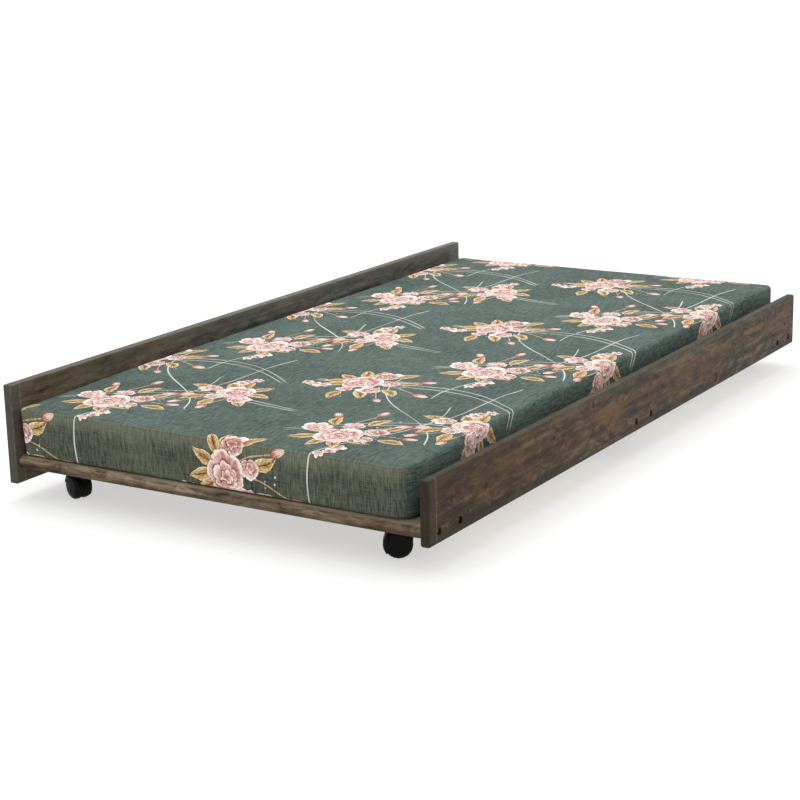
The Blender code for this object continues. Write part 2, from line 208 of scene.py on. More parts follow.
studio = {
    "floorHalf": 60.0,
    "floor": (186, 186, 185),
    "floorGlow": 0.53,  # keeps the shadow faint
    "floorDrift": 0.985,  # how much darker its darkest cloud is
    "sky": (255, 255, 255),
    "skyStrength": 0.98,
    "lamps": {  # place, aim, side, power, colour
        "ceiling_lamp": ((0.6, 0.6, 3.4), (0.1, 0.0, 0.1), 3.0, 70, (244, 251, 255)),
        "near_lamp": ((-3.6, -3.2, 2.2), (-0.4, -0.3, 0.1), 1.8, 8, (255, 244, 230)),
    },
}


def makeStudio():
    half = studio["floorHalf"]
    mesh = bpy.data.meshes.new("floor")
    corners = [(-half, -half, 0), (half, -half, 0), (half, half, 0), (-half, half, 0)]
    mesh.from_pydata(corners, [], [(0, 1, 2, 3)])
    floor = bpy.data.objects.new("floor", mesh)
    bpy.context.scene.collection.objects.link(floor)
    paint = Paint("pale floor")
    cloudy = paint.noise(paint.place(), 0.8, 2.0)
    shade = tint(*studio["floor"])
    faint = darker(shade, studio["floorDrift"])
    mesh.materials.append(
        paint.finish(
            Base_Color=paint.blend(cloudy, shade, faint),
            Roughness=0.9,
            Specular_IOR_Level=0.1,
            Emission_Color=(1, 1, 0.995, 1),
            Emission_Strength=studio["floorGlow"],
        )
    )
    world = bpy.data.worlds.new("studio")
    bpy.context.scene.world = world
    world.use_nodes = True
    backdrop = world.node_tree.nodes["Background"]
    backdrop.inputs["Color"].default_value = tint(*studio["sky"])
    backdrop.inputs["Strength"].default_value = studio["skyStrength"]
    for name, (place, aim, side, power, colour) in studio["lamps"].items():
        data = bpy.data.lights.new(name, "AREA")
        data.size = side
        data.energy = power
        data.color = tint(*colour)[:3]
        lamp = bpy.data.objects.new(name, data)
        bpy.context.scene.collection.objects.link(lamp)
        lamp.location = place
        lamp.rotation_euler = (Vector(aim) - Vector(place)).to_track_quat("-Z", "Y").to_euler()


makeCamera()
makeStudio()
bpy.context.scene.view_settings.view_transform = "Standard"
print("camera and studio")


boards = {
    "stained_pine_front": {
        "dark": (26, 22, 17),
        "middle": (62, 51, 39),
        "light": (120, 102, 79),
        "warm": (100, 70, 45),
        # edge tone: the lower band, and the painted shade on the strip at the near end
        "edge": (46, 42, 34),
        "top": (74, 70, 59),
        "knot": (112, 58, 40),
        # multiplied darker and warmer towards the near end
        "nearTint": (230, 214, 184),
        "warmShare": 0.7,
        "rings": 260.0,
        "seed": 3.1,
        "knots": [  # along, up from the lower edge, radius
            (0.085, 0.079, 0.007), (0.220, 0.064, 0.008), (0.515, 0.089, 0.006), (0.570, 0.064, 0.005),
            (0.700, 0.119, 0.009), (0.850, 0.094, 0.005), (1.000, 0.094, 0.008), (0.790, 0.029, 0.013),
            (1.390, 0.024, 0.014), (1.790, 0.109, 0.009), (1.860, 0.064, 0.006),
        ],
    },
    "stained_pine_back": {
        "dark": (48, 45, 40),
        "middle": (84, 82, 76),
        "light": (120, 117, 108),
        "warm": (108, 88, 68),
        "edge": (74, 71, 64),
        "top": (104, 101, 92),
        "knot": (72, 52, 38),
        # multiplied darker and warmer towards the near end
        "nearTint": (252, 232, 206),
        "outerFaceShade": (196, 184, 168),  # painted light: the back board's tones are raised to lighten its shaded inner face, and its outer face is darkened back
        "warmShare": 0.3,
        "rings": 230.0,
        "seed": 8.7,
        "knots": [(0.890, 0.150, 0.007), (0.310, 0.090, 0.009), (1.480, 0.120, 0.008)],
    },
    "stained_pine_rail": {
        "dark": (44, 36, 29),
        "middle": (104, 90, 73),
        "light": (168, 151, 128),
        "warm": (112, 90, 66),
        "edge": (74, 66, 55),
        # the rail's top tone is a painted highlight along the top of its nose
        "top": (150, 135, 114),
        "knot": (80, 54, 36),
        # painted shade: the rail's lower half is multiplied darker, as its round nose is shaded from below
        "lowerShade": (178, 170, 158),
        "warmShare": 0.35,
        "rings": 240.0,
        "seed": 5.3,
        "knots": [],
    },
    "raw_pine": {
        "dark": (150, 112, 70),
        "middle": (196, 160, 112),
        "light": (222, 194, 148),
        "warm": (188, 138, 84),
        "edge": (176, 138, 92),
        "top": (208, 174, 126),
        "knot": (134, 82, 44),
        "warmShare": 0.4,
        "rings": 210.0,
        "seed": 11.9,
        "knots": [],
    },
}


def woodPaint(name, look, low, high):
    # grain runs along the longest side of the box
    paint = Paint(name)
    size = high - low
    along = 0 if size[0] > size[1] else 1
    side = 1 - along
    x, y, z = paint.split(paint.place())
    runs = (x, y)[along] - low[along]
    across = (x, y)[side] - low[side]
    up = z - low[2]
    slow = paint.join(runs * 1.6, across * 10, up * 12 + look["seed"])
    drift = paint.noise(slow, 1.0, 3.0, 0.55)
    ragged = paint.noise(paint.join(runs * 90, across * 90, up * 60), 1.0, 3.0, 0.6)
    swirl = 0.0
    knotMask = knotHalo = None
    for knotAlong, knotUp, radius in look["knots"]:
        reach = ((runs - knotAlong) * 1.1) ** 2 + ((up - knotUp) * 0.75) ** 2
        reach = reach ** 0.5 / radius + (drift - 0.5) * 1.2 + (ragged - 0.5) * 1.6
        swirl = reach.fall(0.0, 3.6) * radius * 1.8 + swirl
        dark, halo = reach.fall(0.25, 1.15), reach.fall(0.8, 4.0) * reach.rise(0.4, 1.1)
        knotMask = dark if knotMask is None else knotMask.maths("MAXIMUM", dark)
        knotHalo = halo if knotHalo is None else knotHalo.maths("MAXIMUM", halo)
    heart = (up + swirl - 0.30 * size[2] - 0.10) ** 2 + (across + 0.045) ** 2
    depth = heart ** 0.5 + drift * 0.040 + runs * 0.004
    growth = ((depth * look["rings"]).maths("SINE") * 0.5 + 0.5) ** 1.8
    fibre = paint.noise(paint.join(runs * 16, across * 700, up * 700), 1.0, 3.0, 0.6)
    pores = paint.noise(paint.join(runs * 30, across * 1200, up * 1200 + 4), 1.0, 1.0, 0.5)
    poreMask = pores.rise(0.60, 0.72)
    streak = paint.noise(paint.join(runs * 3.5, across * 60, up * 90 + look["seed"]), 1.0, 4.0, 0.62)
    blotch = paint.noise(paint.join(runs * 7.0, across * 12, up * 22 + look["seed"]), 1.0, 4.0, 0.62, 0.6)
    patch = paint.noise(paint.join(runs * 2.6, across * 4, up * 9 + look["seed"] * 2), 1.0, 3.0, 0.6, 0.4)
    mottle = paint.noise(paint.join(runs * 20, across * 40, up * 55 + look["seed"]), 1.0, 5.0, 0.72, 0.7)
    smudge = paint.noise(paint.join(runs * 34, across * 60, up * 30 + look["seed"]), 1.0, 4.0, 0.7, 0.5)
    tone = 0.36 + 0.14 * (1 - growth) + (fibre - 0.5) * 0.7 + (streak - 0.5) * 1.2
    tone = tone + (blotch - 0.5) * 0.9 + (mottle - 0.5) * 1.7
    base = tone.ramp((0.05, look["dark"]), (0.45, look["middle"]), (0.95, look["light"]))
    middleBand = abs(up / size[2] - 0.52).fall(0.10, 0.40)
    warmth = patch.rise(0.36, 0.60) * blotch.rise(0.30, 0.62) * middleBand
    colour = paint.blend(warmth * look["warmShare"], base, tint(*look["warm"]))
    glint = (streak + blotch * 0.6).rise(0.92, 1.12) * patch.rise(0.45, 0.65) * middleBand
    colour = paint.blend(glint * 0.6, colour, tint(*look["light"]))
    share = up / size[2] + (blotch - 0.5) * 0.24
    # bands along the lower and upper edges take the edge and top tones; on the rail the lighter top band is a
    # painted highlight along its nose
    colour = paint.blend(share.fall(0.02, 0.22) * 0.6, colour, tint(*look["edge"]))
    colour = paint.blend(share.rise(0.84, 0.99) * 0.6, colour, tint(*look["top"]))
    fleck = (smudge * 0.5 + mottle * 0.5).rise(0.56, 0.66) * blotch.rise(0.35, 0.60)
    colour = paint.blend(fleck * 0.55, colour, tint(*look["dark"]))
    colour = paint.blend(poreMask * 0.5, colour, darker(tint(*look["dark"]), 0.4))
    # multiplied tints: darker towards the near end, painted shade over the rail's lower half, and the back
    # board's outer face darkened back from its painted light
    for stain, reach in (
        ("nearTint", runs.fall(0.10, 1.00)),
        ("lowerShade", (up / size[2]).fall(0.15, 0.80)),
        ("outerFaceShade", (across / size[side]).rise(0.80, 1.0)),
    ):
        if stain in look:
            stained = paint.blend(1.0, colour, tint(*look[stain]), "MULTIPLY")
            colour = paint.blend(reach, colour, stained)
    if knotMask is not None:
        knotTone = darker(tint(*look["dark"]), 0.35)
        halo = knotHalo * ragged.rise(0.40, 0.62) * mottle.rise(0.36, 0.60)
        colour = paint.blend(halo * 0.75, colour, tint(*look["knot"]))
        colour = paint.blend(knotMask * 0.75, colour, knotTone)
    length = size[along]
    ends = abs(runs / length - 0.5).rise(0.5 - 0.004 / length, 0.5 - 0.001 / length)
    colour = paint.blend(ends * 0.55, colour, tint(*look["dark"]))
    if along == 0:  # painted shade over the strip at the near end where the corner rounds off
        nearEndShade = runs.fall(0.023, 0.028) * 0.65
        colour = paint.blend(nearEndShade, colour, tint(*look["edge"]))
        # painted highlight: a light line along the edge of that strip
        line = abs(runs - 0.0275).fall(0.0006, 0.0024) * fibre.rise(0.3, 0.5)
        colour = paint.blend(line * 0.45, colour, tint(*look["light"]))
    # worn, lighter arrises
    rim = None
    for value, span in ((up, size[2]), (across, size[side]), (runs, length)):
        near = abs(value / span - 0.5) * -span + span / 2
        worn = near.fall(0.0006, 0.0032)
        rim = worn if rim is None else rim + worn
    patchy = paint.noise(paint.join(runs * 40, across * 40, up * 40), 1.0, 3.0)
    rub = (rim - 1.0).rise(0.15, 0.9) * patchy.rise(0.38, 0.62)
    colour = paint.blend(rub * 0.55, colour, tint(*look["light"]))
    relief = growth * -0.35 + fibre * 0.5 - poreMask * 0.8
    return paint.finish(
        Base_Color=colour,
        Roughness=0.42 + fibre * 0.22 + rub * 0.15,
        Specular_IOR_Level=0.12,
        Normal=paint.bump(relief, 0.0004, 0.6),
    )


hardware = {
    "nylon": (3, 3, 3),
    "nylonWorn": (15, 15, 14),
    "zinc": (176, 178, 180),
    "zincDull": (120, 118, 112),
}


def nylonPaint():
    paint = Paint("black nylon")
    place = paint.place()
    fine = paint.noise(place, 900, 2.0)
    scuff = paint.noise(paint.scaled(place, 60, 60, 160), 1.0, 4.0, 0.65).rise(0.56, 0.74)
    colour = paint.blend(scuff * 0.4, tint(*hardware["nylon"]), tint(*hardware["nylonWorn"]))
    return paint.finish(
        Base_Color=colour,
        Roughness=0.40 + fine * 0.12 + scuff * 0.18,
        Specular_IOR_Level=0.11,
        Normal=paint.bump(fine + scuff * 0.6, 0.00012, 0.5),
    )


def zincPaint():
    paint = Paint("zinc steel")
    place = paint.place()
    spangle = paint.node("TexVoronoi", None, {"Vector": place, "Scale": 420}).other("Color")
    spots = paint.noise(place, 260, 3.0, 0.6)
    shade = paint.blend(spots.rise(0.42, 0.66), tint(*hardware["zinc"]), tint(*hardware["zincDull"]))
    colour = paint.blend(0.12, shade, spangle, "OVERLAY")
    return paint.finish(
        Base_Color=colour,
        Metallic=0.95,
        Roughness=0.30 + spots * 0.25,
        Normal=paint.bump(spots, 0.0001, 0.4),
    )


edges = {"merge": 0.00001, "roundUnder": 34}  # metres, degrees


def softEdges():
    # drops the flat normals and shades round edges smooth
    group = bpy.data.node_groups.new("soft edges", "GeometryNodeTree")
    group.interface.new_socket("Geometry", in_out="INPUT", socket_type="NodeSocketGeometry")
    group.interface.new_socket("Geometry", in_out="OUTPUT", socket_type="NodeSocketGeometry")
    made = {}
    for key, kind in (
        ("start", "NodeGroupInput"),
        ("drop", "GeometryNodeRemoveAttribute"),
        ("merge", "GeometryNodeMergeByDistance"),
        ("faces", "GeometryNodeSetShadeSmooth"),
        ("edges", "GeometryNodeSetShadeSmooth"),
        ("angle", "GeometryNodeInputMeshEdgeAngle"),
        ("test", "FunctionNodeCompare"),
        ("end", "NodeGroupOutput"),
    ):
        made[key] = group.nodes.new(kind)
    made["drop"].inputs["Name"].default_value = "custom_normal"
    made["merge"].inputs["Distance"].default_value = edges["merge"]
    made["faces"].domain = "FACE"
    made["edges"].domain = "EDGE"
    made["test"].data_type = "FLOAT"
    made["test"].operation = "LESS_THAN"
    made["test"].inputs[1].default_value = math.radians(edges["roundUnder"])
    link = group.links.new
    link(made["start"].outputs[0], made["drop"].inputs[0])
    link(made["drop"].outputs[0], made["merge"].inputs[0])
    link(made["merge"].outputs[0], made["faces"].inputs[0])
    link(made["faces"].outputs[0], made["edges"].inputs[0])
    link(made["angle"].outputs[0], made["test"].inputs[0])
    link(made["test"].outputs[0], made["edges"].inputs["Shade Smooth"])
    link(made["edges"].outputs[0], made["end"].inputs[0])
    return group


def finishFrame():
    nylon, zinc, soft = nylonPaint(), zincPaint(), softEdges()
    woods = 0
    for name, node in nodes.items():
        if name == "mattress":
            continue
        slot = node.material_slots[0].material.name
        if slot == "black_nylon":
            paint = nylon
        elif slot == "zinc_steel":
            paint = zinc
        else:
            low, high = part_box(name)
            paint = woodPaint(name.replace("_", " ") + " pine", boards[slot], low, high)
            woods += 1
        node.material_slots[0].material = paint
        shading = node.modifiers.new("soft edges", "NODES")
        shading.node_group = soft
        weighted = node.modifiers.new("weighted normals", "WEIGHTED_NORMAL")
        weighted.mode = "FACE_AREA"
        weighted.keep_sharp = True
    print("frame finished:", woods, "wooden pieces")


finishFrame()


mattress = {
    "cell": 0.016,
    "edgeCell": 0.0055,
    "edgeBand": 0.022,
    "edgeRadius": 0.010,
    "corners": {(-1, -1): 0.042, (-1, 1): 0.005, (1, -1): 0.020, (1, 1): 0.024},
    "cloth": {
        "quality": 5,
        "mass": 0.3,
        "tension_stiffness": 22,
        "compression_stiffness": 22,
        "shear_stiffness": 8,
        "bending_stiffness": 1.2,
        "use_pressure": True,
        "uniform_pressure_force": 4.0,
    },
    "steps": 20,
    "cap": 0.0045,  # the most that the cloth may move
    "quickLift": 0.003,
    "foot": 0.02,  # the cloth lies flat below this
    "crown": 0.009,  # higher than at the near end
    "crownReach": 0.42,
    "tuck": (0.003, 0.005),  # the foot of the near back corner draws in
    "drift": (0.050, 0.030),  # the cover is pulled this far along and across beyond the near end
    "shift": 0.008,
    "push": 0.007,  # the near back corner leans on the board
    "tuckReach": 0.30,
    "pushReach": 0.40,
    "underside": 20,  # metres off the pattern, so the underside is plain
}


def easeIn(values):
    values = np.clip(values, 0, 1)
    return values * values * (3 - 2 * values)


def gridLines(low, high):
    band, edge = mattress["edgeBand"], mattress["edgeCell"]
    steps = round(band / edge)
    inner = max(2, round((high - low - 2 * band) / mattress["cell"]))
    left = [low + band * i / steps for i in range(steps)]
    middle = [low + band + (high - low - 2 * band) * i / inner for i in range(inner)]
    right = [high - band + band * i / steps for i in range(steps + 1)]
    return np.array(left + middle + right)


def slabMesh(low, high):
    # six gridded sides of a box; each corner keeps where it lies on the flat cloth
    mesh = bmesh.new()
    cloth = mesh.loops.layers.uv.new("cloth")
    lines = [gridLines(low[axis], high[axis]) for axis in range(3)]
    points = {}

    def point(key):
        if key not in points:
            points[key] = mesh.verts.new([lines[axis][key[axis]] for axis in range(3)])
        return points[key]

    def clothPlace(axis, end, place):
        x, y, z = place
        drop = high[2] - z
        along, across = x - low[0], high[1] - y
        if axis == 0:
            along = -drop if end == 0 else high[0] - low[0] + drop
        if axis == 1:
            across = high[1] - low[1] + drop if end == 0 else -drop
        pull = float(easeIn(np.array((x - low[0]) / mattress["crownReach"])))
        along += mattress["drift"][0] * pull
        across += mattress["shift"] - mattress["drift"][1] * pull
        if axis == 2 and end == 0:
            along -= mattress["underside"]
        return along, across

    for axis in range(3):
        first, second = [other for other in range(3) if other != axis]
        for end in (0, 1):
            level = len(lines[axis]) - 1 if end else 0
            for i in range(len(lines[first]) - 1):
                for j in range(len(lines[second]) - 1):
                    keys = []
                    for di, dj in ((0, 0), (1, 0), (1, 1), (0, 1)):
                        key = [0, 0, 0]
                        key[axis], key[first], key[second] = level, i + di, j + dj
                        keys.append(tuple(key))
                    if (end == 1) == (axis == 1):
                        keys.reverse()
                    face = mesh.faces.new([point(key) for key in keys])
                    for loop in face.loops:
                        loop[cloth].uv = clothPlace(axis, end, loop.vert.co)
    made = bpy.data.meshes.new("mattress_cover")
    mesh.to_mesh(made)
    mesh.free()
    return made


def roundSlab(places, low, high):
    # rounds the upright corners in plan, then the top and bottom edges
    middle, half = (low + high) / 2, (high - low) / 2
    local = places - middle
    side = np.sign(local[:, :2])
    radius = np.array([mattress["corners"][(int(a or 1), int(b or 1))] for a, b in side])
    into = np.maximum(np.abs(local[:, :2]) - (half[:2] - radius[:, None]), 0)
    most = into.max(1)
    length = np.linalg.norm(into, axis=1)
    rounded = into * np.where(length > 0, most / np.maximum(length, 1e-9), 1)[:, None]
    local[:, :2] += side * (rounded - into)
    length = np.linalg.norm(rounded, axis=1)
    edge = mattress["edgeRadius"]
    outside = side * rounded / np.maximum(length, 1e-9)[:, None]
    inward = np.maximum(length - (radius - edge), 0)
    rise = np.maximum(np.abs(local[:, 2]) - (half[2] - edge), 0)
    most = np.maximum(inward, rise)
    both = np.hypot(inward, rise)
    share = np.where(both > 0, most / np.maximum(both, 1e-9), 1)
    local[:, :2] += outside * (inward * share - inward)[:, None]
    local[:, 2] += np.sign(local[:, 2]) * (rise * share - rise)
    return local + middle


def readPlaces(mesh):
    flat = np.empty(len(mesh.vertices) * 3, np.float32)
    mesh.vertices.foreach_get("co", flat)
    return flat.reshape(-1, 3).astype(float)


def writePlaces(mesh, places):
    mesh.vertices.foreach_set("co", places.astype(np.float32).ravel())
    mesh.update()


def swell(piece):
    # the cover fills out as cloth under pressure
    cloth = piece.modifiers.new("swell", "CLOTH")
    for name, value in mattress["cloth"].items():
        setattr(cloth.settings, name, value)
    cloth.settings.effector_weights.gravity = 0
    cloth.point_cache.frame_start = 1
    cloth.point_cache.frame_end = mattress["steps"]
    scene = bpy.context.scene
    for step in range(mattress["steps"]):
        scene.frame_set(step + 1)
    graph = bpy.context.evaluated_depsgraph_get()
    swollen = readPlaces(piece.evaluated_get(graph).data)
    piece.modifiers.remove(cloth)
    scene.frame_set(1)
    return swollen


def shapeCover(flat, low, high):
    # the filling stands higher away from the near end, and the near back corner tucks in at its foot
    lift = np.zeros_like(flat)
    height = (flat[:, 2] - low[2]) / (high[2] - low[2])
    fromEnd = flat[:, 0] - low[0]
    lift[:, 2] = mattress["crown"] * easeIn(fromEnd / mattress["crownReach"]) * height
    near = easeIn(1 - fromEnd / mattress["tuckReach"]) * (1 - height)
    lift[:, 0] += mattress["tuck"][0] * near
    toBack = easeIn((flat[:, 1] - low[1]) / (high[1] - low[1]))
    lift[:, 1] -= mattress["tuck"][1] * near * toBack
    nearer = easeIn(1 - fromEnd / mattress["pushReach"])
    lift[:, 1] += mattress["push"] * nearer * easeIn(toBack * 2 - 1)
    return lift


def makeMattress():
    low, high = (np.array(corner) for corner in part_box("mattress"))
    mesh = slabMesh(low, high)
    flat = readPlaces(mesh)
    start = roundSlab(flat.copy(), low, high)
    writePlaces(mesh, start)
    cover = bpy.data.objects.new("mattress_cover", mesh)
    bpy.context.scene.collection.objects.link(cover)
    swollen = swell(cover)
    moved = swollen - start
    far = np.linalg.norm(moved, axis=1, keepdims=True)
    cap = mattress["cap"]
    moved *= cap * np.tanh(far / cap) / np.maximum(far, 1e-9)
    moved[:, 2] *= np.clip((flat[:, 2] - low[2]) / mattress["foot"], 0, 1)
    moved += shapeCover(flat, low, high)
    writePlaces(mesh, start + moved)
    finer = cover.modifiers.new("finer", "SUBSURF")
    finer.levels = finer.render_levels = 1
    graph = bpy.context.evaluated_depsgraph_get()
    smooth = bpy.data.meshes.new_from_object(cover.evaluated_get(graph), depsgraph=graph)
    cover.modifiers.remove(finer)
    cover.data = smooth
    smooth.name = "mattress_cover"
    for face in smooth.polygons:
        face.use_smooth = True
    furthest = float(np.linalg.norm(moved, axis=1).max()) * 1000
    print("mattress cover:", len(smooth.polygons), "faces, moved up to", round(furthest, 1), "mm")
    return cover


# the pattern is laid out by rule: bouquets in diagonal rows with loose curves between them
printed = {
    "repeat": (600.0, 600.0),  # millimetres along the bed from the near end, and across it from the back
    "first": (130.0, 150.0),  # the first bouquet, and the others follow it on the diagonal
    "bouquets": [
        {"heading": 20, "heart": 53, "partners": 4, "leaves": 9, "buds": 4, "spray": 120},
        {"heading": 205, "heart": 47, "partners": 3, "leaves": 8, "buds": 3, "spray": 0},
        {"heading": 100, "heart": 50, "partners": 4, "leaves": 10, "buds": 3, "spray": 105},
    ],
    "seed": 11,
    "cover": ((-260, 2200), (-260, 1260)),  # bouquets outside this are left out
    "partnerGap": 58,  # degrees between the flowers beside the heart
    "partnerSize": (0.62, 0.48, 0.56, 0.40),  # as shares of the heart
    "leafReach": 52,
    "leafWidth": 14,
    "budFan": 34,  # degrees between the stems
    "budSize": (16, 25),
    "budFar": (2.6, 3.4),  # in hearts
    "smallFlowers": 3,
    "smallTurn": 128,  # degrees from the heading
    "trails": 5,
    "trailLength": 540.0,
    "trailSwing": 58.0,
    "trailWaves": 0.7,
    "twinGap": 11.0,  # every other curve has a second one beside it
    "lineReach": 11.0,  # a curve is kept on the faces this near to it
    "ground": {
        "dark": (36, 47, 42),
        "light": (98, 117, 108),
        # light tone of the painted highlights along the near top edge and the upper part of the end faces
        "crease": (146, 150, 126),
        # warm tint of the painted shade on the end faces
        "ends": (254, 226, 210),
    },
    "petals": (
        (0.0, (92, 44, 42)),
        (0.20, (162, 96, 90)),
        (0.42, (206, 152, 142)),
        (0.64, (232, 202, 192)),
        (1.0, (252, 242, 233)),
    ),
    "buds": (
        (0.0, (98, 50, 45)),
        (0.26, (166, 102, 92)),
        (0.52, (206, 150, 137)),
        (0.78, (232, 198, 184)),
        (1.0, (250, 236, 224)),
    ),
    "leaves": (
        (0.0, (66, 44, 28)),
        (0.28, (126, 90, 50)),
        (0.52, (184, 144, 90)),
        (0.78, (220, 190, 140)),
        (1.0, (244, 230, 200)),
    ),
    "stems": ((0.3, (140, 106, 74)), (0.6, (222, 192, 152))),
    "trailTone": (222, 224, 214),
    "dotTone": (238, 232, 220),
    "outline": (26, 30, 25),
    "threads": 5700,  # radians a metre, a thread every 1.1 mm
}


def outward(angle, far):
    return far * math.cos(math.radians(angle)), far * math.sin(math.radians(angle))


def makeBouquet(plan, luck):
    # a full flower at the heart, smaller ones on the heading's side, leaves all round and stems fanning out
    heart, heading = plan["heart"], plan["heading"]
    made = {"roses": [(0, 0, heart, luck.uniform(0, 6), 3)], "buds": [], "leaves": [], "stems": []}
    for i in range(plan["partners"]):
        angle = heading + (i - (plan["partners"] - 1) / 2) * printed["partnerGap"] + luck.uniform(-9, 9)
        radius = heart * printed["partnerSize"][i]
        far = (heart + radius) * luck.uniform(0.84, 0.98)
        made["roses"].append((*outward(angle, far), radius, luck.uniform(0, 6), 2))
    for i in range(plan["leaves"]):
        angle = heading + 360 * (i + 0.5) / plan["leaves"] + luck.uniform(-8, 8)
        front = math.cos(math.radians(angle - heading)) > 0.1
        reach = heart * (1.95 if front else 1.0) + printed["leafReach"] * luck.uniform(0.8, 1.1)
        start = outward(angle, reach - printed["leafReach"] * 1.35)
        made["leaves"].append((*start, *outward(angle + luck.uniform(-9, 9), reach), printed["leafWidth"]))
    for i in range(plan["buds"]):
        angle = heading + (i - (plan["buds"] - 1) / 2) * printed["budFan"] + luck.uniform(-6, 6)
        far = heart * luck.uniform(*printed["budFar"])
        length = luck.uniform(*printed["budSize"])
        foot, bend = outward(angle - 12, heart * 0.7), outward(angle - 9, far * 0.55)
        made["stems"].append((foot, bend, outward(angle, far)))
        made["buds"].append((*outward(angle, far + length * 0.7), length, length * 0.56, angle))
    for i in range(printed["smallFlowers"]):
        place = outward(heading + printed["smallTurn"] + 9 * i, heart * (1.75 + 0.33 * i))
        made["roses"].append((*place, 18 - 2 * i, luck.uniform(0, 6), 1))
    return made


def makeTrail(number, twin):
    # a curve that swings about its heading
    start = [(0.2 + share * number) % 1 * size for share, size in zip((0.755, 0.570), printed["repeat"])]
    heading = math.radians(25 + 77 * number)
    points = []
    for share in np.linspace(0, 1, 11):
        run = printed["trailLength"] * share
        wave = 2 * math.pi * (printed["trailWaves"] * share + 0.3 * number)
        swing = printed["trailSwing"] * math.sin(wave)
        swing += twin * printed["twinGap"] * (1 + math.sin(3 * share))
        x = start[0] + run * math.cos(heading) - swing * math.sin(heading)
        y = start[1] + run * math.sin(heading) + swing * math.cos(heading)
        points.append((x, y))
    return np.array(points)


def printCopies():
    # where each repeat of the pattern starts, over the whole cover
    along, across = printed["repeat"]
    return [(copy * along, row * across) for copy in range(-1, 4) for row in range(-1, 2)]


def printPieces():
    # every printed shape over the whole cover: middle, axis, half length, half width, code
    pieces = {"rose": [], "bud": [], "leaf": []}
    stems, centres = [], []
    luck = random.Random(printed["seed"])
    bouquets = [makeBouquet(plan, luck) for plan in printed["bouquets"]]
    for move in printCopies():
        for i, bouquet in enumerate(bouquets):
            at = np.array(printed["first"]) + move + np.array(printed["repeat"]) * i / len(bouquets)
            if not all(low < value < high for value, (low, high) in zip(at, printed["cover"])):
                continue
            plan = printed["bouquets"][i]
            if plan["spray"]:
                centres.append((at + outward(plan["heading"] + 20, plan["heart"] * 1.6), plan["spray"]))
            for along, across, radius, turn, rings in bouquet["roses"]:
                axis = np.array([math.cos(turn), math.sin(turn)])
                code = rings + (0.11 + 0.61 * (along * 7 + across * 3 + radius)) % 0.9
                pieces["rose"].append((at + (along, across), axis, radius, radius * 0.94, code))
            for along, across, length, width, angle in bouquet["buds"]:
                code = 1 + (0.07 + 0.53 * (along + across * 5)) % 0.9
                pieces["bud"].append((at + (along, across), np.array(outward(angle, 1)), length, width, code))
            for s0, t0, s1, t1, width in bouquet["leaves"]:
                start, end = np.array((s0, t0), float), np.array((s1, t1), float)
                length = np.linalg.norm(end - start)
                code = 1 + (0.05 + 0.47 * (s0 * 3 + t1)) % 0.9
                shape = (at + (start + end) / 2, (end - start) / length, length / 2, width, code)
                pieces["leaf"].append(shape)
            for stem in bouquet["stems"]:
                stems.append(np.array(stem, float) + at)
    return pieces, stems, centres


def smoothLine(points, step=6.0):
    # a rounded path through the points, with a point every few millimetres
    points = np.array(points, float)
    padded = np.vstack([2 * points[0] - points[1], points, 2 * points[-1] - points[-2]])
    path = []
    for i in range(1, len(padded) - 2):
        p0, p1, p2, p3 = padded[i - 1 : i + 3]
        count = max(2, int(np.linalg.norm(p2 - p1) / step))
        bend, twist = 2 * p0 - 5 * p1 + 4 * p2 - p3, 3 * p1 - p0 - 3 * p2 + p3
        for share in np.arange(count) / count:
            path.append(0.5 * (2 * p1 + (p2 - p0) * share + bend * share**2 + twist * share**3))
    path.append(points[-1])
    return np.array(path)


def writeHeld(mesh, name, values):
    held = mesh.attributes.new(name, "FLOAT_VECTOR", "CORNER")
    held.data.foreach_set("vector", values.astype(np.float32).ravel())


def lineLayer(lines, corners, centres, channels):
    # signed distance to the nearest line of each channel; lines that cross go to different channels
    count, reach = len(centres), printed["lineReach"]
    held = np.full((count, 4, channels), 60.0)
    nearest = np.full((count, channels), 1e9)
    for line in lines:
        path = smoothLine(line)
        low, high = path.min(0) - reach - 3, path.max(0) + reach + 3
        rows = np.where(((centres > low) & (centres < high)).all(1))[0]
        if not len(rows):
            continue
        start, along = path[:-1], path[1:] - path[:-1]
        length = np.linalg.norm(along, axis=1)
        along = along / length[:, None]
        away = centres[rows][:, None] - start[None]
        run = np.clip((away * along).sum(2), 0, length)
        gap = np.linalg.norm(away - run[..., None] * along, axis=2)
        best = gap.argmin(1)
        close = gap[np.arange(len(rows)), best]
        mine = close < reach
        rows, best, close = rows[mine], best[mine], close[mine]
        clash = [(nearest[rows, channel] < reach).sum() for channel in range(channels)]
        channel = int(np.argmin(clash))
        wins = close < nearest[rows, channel]
        rows, best, close = rows[wins], best[wins], close[wins]
        nearest[rows, channel] = close
        normal = np.stack([-along[:, 1], along[:, 0]], 1)
        from0 = corners[rows] - start[best][:, None]
        signed = (from0 * normal[best][:, None]).sum(2)
        onward = (from0 * along[best][:, None]).sum(2)
        tail = np.minimum(onward, 0) * (best == 0)[:, None]
        over = np.maximum(onward - length[best][:, None], 0) * (best == len(length) - 1)[:, None]
        past = np.abs(tail) + over
        sign = np.where(signed < 0, -1, 1)
        held[rows, :, channel] = sign * np.hypot(signed, past)
    return held


